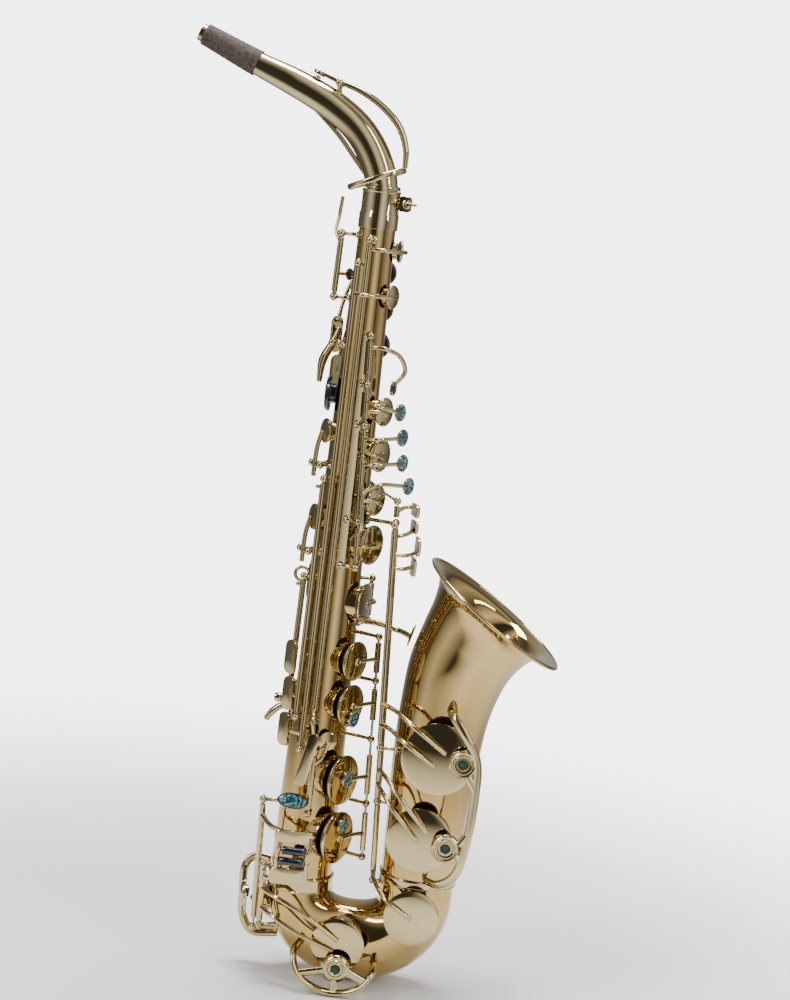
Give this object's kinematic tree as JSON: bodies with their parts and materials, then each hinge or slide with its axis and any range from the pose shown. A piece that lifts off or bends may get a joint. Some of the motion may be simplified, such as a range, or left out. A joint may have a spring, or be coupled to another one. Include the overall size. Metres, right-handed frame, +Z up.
{
  "type": "alto saxophone",
  "caption": "Alto saxophone: conical body, bow and flared bell, curved neck, and keys that turn on rods, with guards, strap ring and thumb rests.",
  "frame": {"origin": "centre of the strap ring on the back of the body tube", "axes": "+Z up along the body tube towards the neck, +X from the body tube towards the bell, -Y on the side of the low B and B flat cups"},
  "size_m": [0.3082, 0.1192, 0.6718],
  "materials": {
    "body_brass": "clear lacquer, polished",
    "key_brass": "clear lacquer, polished",
    "rod_steel": "blued steel",
    "touch_plastic": "gloss",
    "cork": "cork sheet"
  },
  "bodies": {
    "instrument": {"body_tube": "body_brass", "bow": "body_brass", "bell": "body_brass", "body_bow_ring": "body_brass", "bell_bow_ring": "body_brass", "bell_brace": "body_brass", "neck_receiver": "body_brass", "strap_ring": "body_brass", "thumb_hook": "body_brass", "thumb_hook_screw": "body_brass", "thumb_rest": "touch_plastic", "bell_key_guard": "key_brass", "low_c_guard": "body_brass", "low_eb_guard": "body_brass", "bell_rod_bracket": "body_brass", "upper_stack_rib": "body_brass", "lower_stack_rib": "body_brass", "upper_stack_rod": "rod_steel", "lower_stack_rod": "rod_steel"},
    "neck": {"neck_tube": "body_brass", "neck_cork": "cork"},
    "neck_octave_key": {"neck_octave_key": "key_brass"},
    "clamp_screw": {"clamp_screw": "body_brass"},
    "octave_thumb_lever": {"octave_thumb_lever": "key_brass"},
    "octave_link": {"octave_link": "key_brass"},
    "high_f_key": {"high_f_key": "key_brass"},
    "high_eb_key": {"high_eb_key": "key_brass"},
    "high_d_key": {"high_d_key": "key_brass"},
    "front_f_key": {"front_f_key": "key_brass"},
    "c_key": {"c_key": "key_brass"},
    "b_key": {"b_key": "key_brass"},
    "a_key": {"a_key": "key_brass"},
    "g_key": {"g_key": "key_brass"},
    "gs_key": {"gs_key": "key_brass"},
    "fs_key": {"fs_key": "key_brass"},
    "f_key": {"f_key": "key_brass"},
    "e_key": {"e_key": "key_brass"},
    "d_key": {"d_key": "key_brass"},
    "high_fs_key": {"high_fs_key": "key_brass"},
    "high_e_key": {"high_e_key": "key_brass"},
    "side_c_lever": {"side_c_lever": "key_brass"},
    "side_c_key": {"side_c_key": "key_brass"},
    "side_bb_lever": {"side_bb_lever": "key_brass"},
    "side_bb_key": {"side_bb_key": "key_brass"},
    "fs_trill_key": {"fs_trill_key": "key_brass"},
    "eb_key": {"eb_key": "key_brass"},
    "eb_roller": {"eb_roller": "touch_plastic"},
    "low_c_key": {"low_c_key": "key_brass"},
    "c_roller": {"c_roller": "touch_plastic"},
    "low_cs_key": {"low_cs_key": "key_brass"},
    "cs_touch": {"cs_touch": "key_brass"},
    "gs_touch": {"gs_touch": "key_brass"},
    "low_b_key": {"low_b_key": "key_brass"},
    "low_bb_key": {"low_bb_key": "key_brass"}
  },
  "joints": [
    {"name": "neck_turn", "type": "hinge", "parent": "instrument", "child": "neck", "pos_m": [0.0245, 0, 0.261], "axis": [0, 0, 1], "range_deg": [-12, 12]},
    {"name": "neck_octave_key_turn", "type": "hinge", "parent": "neck", "child": "neck_octave_key", "pos_m": [-0.0135, -0.004, 0.3485], "axis": [0, 1, 0], "range_deg": [0, 3], "stiffness_Nm_per_rad": 0.15},
    {"name": "clamp_screw_turn", "type": "hinge", "parent": "instrument", "child": "clamp_screw", "pos_m": [0.0435, -0.004, 0.2705], "axis": [0, 1, 0], "range_deg": [-90, 90]},
    {"name": "octave_thumb_lever_turn", "type": "hinge", "parent": "instrument", "child": "octave_thumb_lever", "pos_m": [0.003, -0.004, 0.169], "axis": [0, 1, 0], "range_deg": [-4, 0], "stiffness_Nm_per_rad": 0.15},
    {"name": "octave_link_turn", "type": "hinge", "parent": "instrument", "child": "octave_link", "pos_m": [-0.0005, -0.004, 0.198], "axis": [0.0149, 0, 0.9999], "range_deg": [0, 8], "stiffness_Nm_per_rad": 0.15},
    {"name": "high_f_key_turn", "type": "hinge", "parent": "instrument", "child": "high_f_key", "pos_m": [0.021, 0.025, 0.155], "axis": [0.0062, -0.0312, 0.9995], "range_deg": [0, 8], "stiffness_Nm_per_rad": 0.15},
    {"name": "high_eb_key_turn", "type": "hinge", "parent": "instrument", "child": "high_eb_key", "pos_m": [0.021, 0.025, 0.155], "axis": [0.0062, -0.0312, 0.9995], "range_deg": [0, 9], "stiffness_Nm_per_rad": 0.15},
    {"name": "high_d_key_turn", "type": "hinge", "parent": "instrument", "child": "high_d_key", "pos_m": [0.021, 0.025, 0.155], "axis": [0.0062, -0.0312, 0.9995], "range_deg": [0, 9], "stiffness_Nm_per_rad": 0.15},
    {"name": "front_f_key_turn", "type": "hinge", "parent": "instrument", "child": "front_f_key", "pos_m": [0.039, -0.023, 0.011], "axis": [-0.0522, 0.0174, 0.9985], "range_deg": [0, 6], "stiffness_Nm_per_rad": 0.15},
    {"name": "c_key_turn", "type": "hinge", "parent": "instrument", "child": "c_key", "pos_m": [0.039, -0.023, 0.011], "axis": [-0.0522, 0.0174, 0.9985], "range_deg": [0, 8], "stiffness_Nm_per_rad": 0.15},
    {"name": "b_key_turn", "type": "hinge", "parent": "instrument", "child": "b_key", "pos_m": [0.039, -0.023, 0.011], "axis": [-0.0522, 0.0174, 0.9985], "range_deg": [0, 8], "stiffness_Nm_per_rad": 0.15},
    {"name": "a_key_turn", "type": "hinge", "parent": "instrument", "child": "a_key", "pos_m": [0.039, -0.023, 0.011], "axis": [-0.0522, 0.0174, 0.9985], "range_deg": [0, 8], "stiffness_Nm_per_rad": 0.15},
    {"name": "g_key_turn", "type": "hinge", "parent": "instrument", "child": "g_key", "pos_m": [0.039, -0.023, 0.011], "axis": [-0.0522, 0.0174, 0.9985], "range_deg": [0, 8], "stiffness_Nm_per_rad": 0.15},
    {"name": "gs_key_turn", "type": "hinge", "parent": "instrument", "child": "gs_key", "pos_m": [0.0495, 0.018, -0.031], "axis": [0, 0, 1], "range_deg": [0, 9], "stiffness_Nm_per_rad": 0.15},
    {"name": "fs_key_turn", "type": "hinge", "parent": "instrument", "child": "fs_key", "pos_m": [0.0675, 0.001, -0.205], "axis": [-0.0431, 0, 0.9991], "range_deg": [-8, 0], "stiffness_Nm_per_rad": 0.15},
    {"name": "f_key_turn", "type": "hinge", "parent": "instrument", "child": "f_key", "pos_m": [0.0675, 0.001, -0.205], "axis": [-0.0431, 0, 0.9991], "range_deg": [-8, 0], "stiffness_Nm_per_rad": 0.15},
    {"name": "e_key_turn", "type": "hinge", "parent": "instrument", "child": "e_key", "pos_m": [0.0675, 0.001, -0.205], "axis": [-0.0431, 0, 0.9991], "range_deg": [-8, 0], "stiffness_Nm_per_rad": 0.15},
    {"name": "d_key_turn", "type": "hinge", "parent": "instrument", "child": "d_key", "pos_m": [0.0675, 0.001, -0.205], "axis": [-0.0431, 0, 0.9991], "range_deg": [-8, 0], "stiffness_Nm_per_rad": 0.15},
    {"name": "high_fs_key_turn", "type": "hinge", "parent": "instrument", "child": "high_fs_key", "pos_m": [0.023, -0.031, -0.111], "axis": [-0.0028, 0.0227, 0.9997], "range_deg": [-6, 0], "stiffness_Nm_per_rad": 0.15},
    {"name": "high_e_key_turn", "type": "hinge", "parent": "instrument", "child": "high_e_key", "pos_m": [0.016, -0.03, -0.121], "axis": [-0.0014, 0.0243, 0.9997], "range_deg": [-6, 0], "stiffness_Nm_per_rad": 0.15},
    {"name": "side_c_lever_turn", "type": "hinge", "parent": "instrument", "child": "side_c_lever", "pos_m": [0.0095, -0.027, -0.099], "axis": [0, 0.0202, 0.9998], "range_deg": [-6, 0], "stiffness_Nm_per_rad": 0.15},
    {"name": "side_c_key_turn", "type": "hinge", "parent": "instrument", "child": "side_c_key", "pos_m": [0.00355, -0.01567, 0.082], "axis": [-0.4695, 0.8829, 0], "range_deg": [-9, 0], "stiffness_Nm_per_rad": 0.15},
    {"name": "side_bb_lever_turn", "type": "hinge", "parent": "instrument", "child": "side_bb_lever", "pos_m": [0.0017, -0.0115, -0.077], "axis": [0.0103, 0, 0.9999], "range_deg": [0, 6], "stiffness_Nm_per_rad": 0.15},
    {"name": "side_bb_key_turn", "type": "hinge", "parent": "instrument", "child": "side_bb_key", "pos_m": [0.00244, -0.01626, 0.02], "axis": [-0.4695, 0.8829, 0], "range_deg": [-9, 0], "stiffness_Nm_per_rad": 0.15},
    {"name": "fs_trill_key_turn", "type": "hinge", "parent": "instrument", "child": "fs_trill_key", "pos_m": [0.0265, -0.031, -0.167], "axis": [0, 0, 1], "range_deg": [-7, 0], "stiffness_Nm_per_rad": 0.15},
    {"name": "eb_key_turn", "type": "hinge", "parent": "instrument", "child": "eb_key", "pos_m": [-0.005, -0.014, -0.257], "axis": [-0.0326, 0.0217, 0.9992], "range_deg": [0, 6], "stiffness_Nm_per_rad": 0.15},
    {"name": "eb_roller_turn", "type": "hinge", "parent": "eb_key", "child": "eb_roller", "pos_m": [0.02, -0.04, -0.1928], "axis": [1, 0, 0], "continuous": true},
    {"name": "low_c_key_turn", "type": "hinge", "parent": "instrument", "child": "low_c_key", "pos_m": [0, -0.0195, -0.257], "axis": [-0.0217, -0.0109, 0.9997], "range_deg": [0, 3], "stiffness_Nm_per_rad": 0.15},
    {"name": "c_roller_turn", "type": "hinge", "parent": "low_c_key", "child": "c_roller", "pos_m": [0.01893, -0.04108, -0.20044], "axis": [0.9986, -0.0523, -0.0006], "continuous": true},
    {"name": "low_cs_key_turn", "type": "hinge", "parent": "instrument", "child": "low_cs_key", "pos_m": [0.0773, -0.003, -0.217], "axis": [-0.055, 0, 0.9985], "range_deg": [-4, 0], "stiffness_Nm_per_rad": 0.15},
    {"name": "cs_touch_turn", "type": "hinge", "parent": "instrument", "child": "cs_touch", "pos_m": [0.0773, -0.003, -0.217], "axis": [-0.055, 0, 0.9985], "range_deg": [0, 5], "stiffness_Nm_per_rad": 0.15},
    {"name": "gs_touch_turn", "type": "hinge", "parent": "instrument", "child": "gs_touch", "pos_m": [0.0773, -0.003, -0.217], "axis": [-0.055, 0, 0.9985], "range_deg": [0, 6], "stiffness_Nm_per_rad": 0.15},
    {"name": "low_b_key_turn", "type": "hinge", "parent": "instrument", "child": "low_b_key", "pos_m": [0.074, -0.01, -0.157], "axis": [-0.0551, 0, 0.9985], "range_deg": [0, 4], "stiffness_Nm_per_rad": 0.15},
    {"name": "low_bb_key_turn", "type": "hinge", "parent": "instrument", "child": "low_bb_key", "pos_m": [0.0717, -0.017, -0.117], "axis": [-0.0545, 0, 0.9985], "range_deg": [0, 4], "stiffness_Nm_per_rad": 0.15}
  ],
  "couplings": [
    {"joint": "neck_octave_key_turn", "follows": "octave_thumb_lever_turn", "ratio": -0.75},
    {"joint": "octave_link_turn", "follows": "octave_thumb_lever_turn", "ratio": -2},
    {"joint": "gs_key_turn", "follows": "gs_touch_turn", "ratio": 1.5},
    {"joint": "side_c_key_turn", "follows": "side_c_lever_turn", "ratio": 1.5},
    {"joint": "side_bb_key_turn", "follows": "side_bb_lever_turn", "ratio": -1.5},
    {"joint": "low_cs_key_turn", "follows": "cs_touch_turn", "ratio": -0.8}
  ]
}
